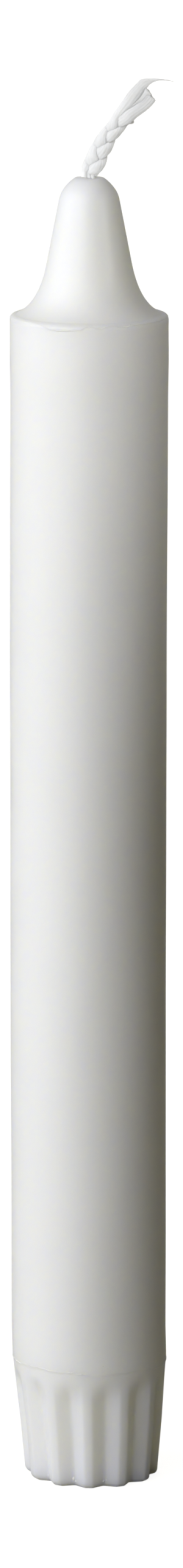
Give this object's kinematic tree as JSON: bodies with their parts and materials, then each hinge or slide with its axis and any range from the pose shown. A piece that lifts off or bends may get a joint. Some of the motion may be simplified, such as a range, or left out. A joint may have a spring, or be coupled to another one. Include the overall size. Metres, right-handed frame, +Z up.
{
  "type": "taper candle",
  "caption": "White household taper candle with a bell-shaped crown, a fluted plug foot and an unlit plaited cotton wick that leans to one side",
  "frame": {"origin": "middle of the foot, in the plane the candle stands on", "axes": "+Z up along the candle, -Y towards the viewer of the picture (front), +X to the right, where the wick leans"},
  "size_m": [0.0228, 0.0226, 0.2018],
  "materials": {
    "wax": "satin, slightly translucent stearin and paraffin wax",
    "wick": "unwaxed plaited cotton"
  },
  "bodies": {
    "root": {"wax_body": "wax", "wick_strand_left": "wick", "wick_strand_middle": "wick", "wick_strand_right": "wick"}
  },
  "joints": []
}
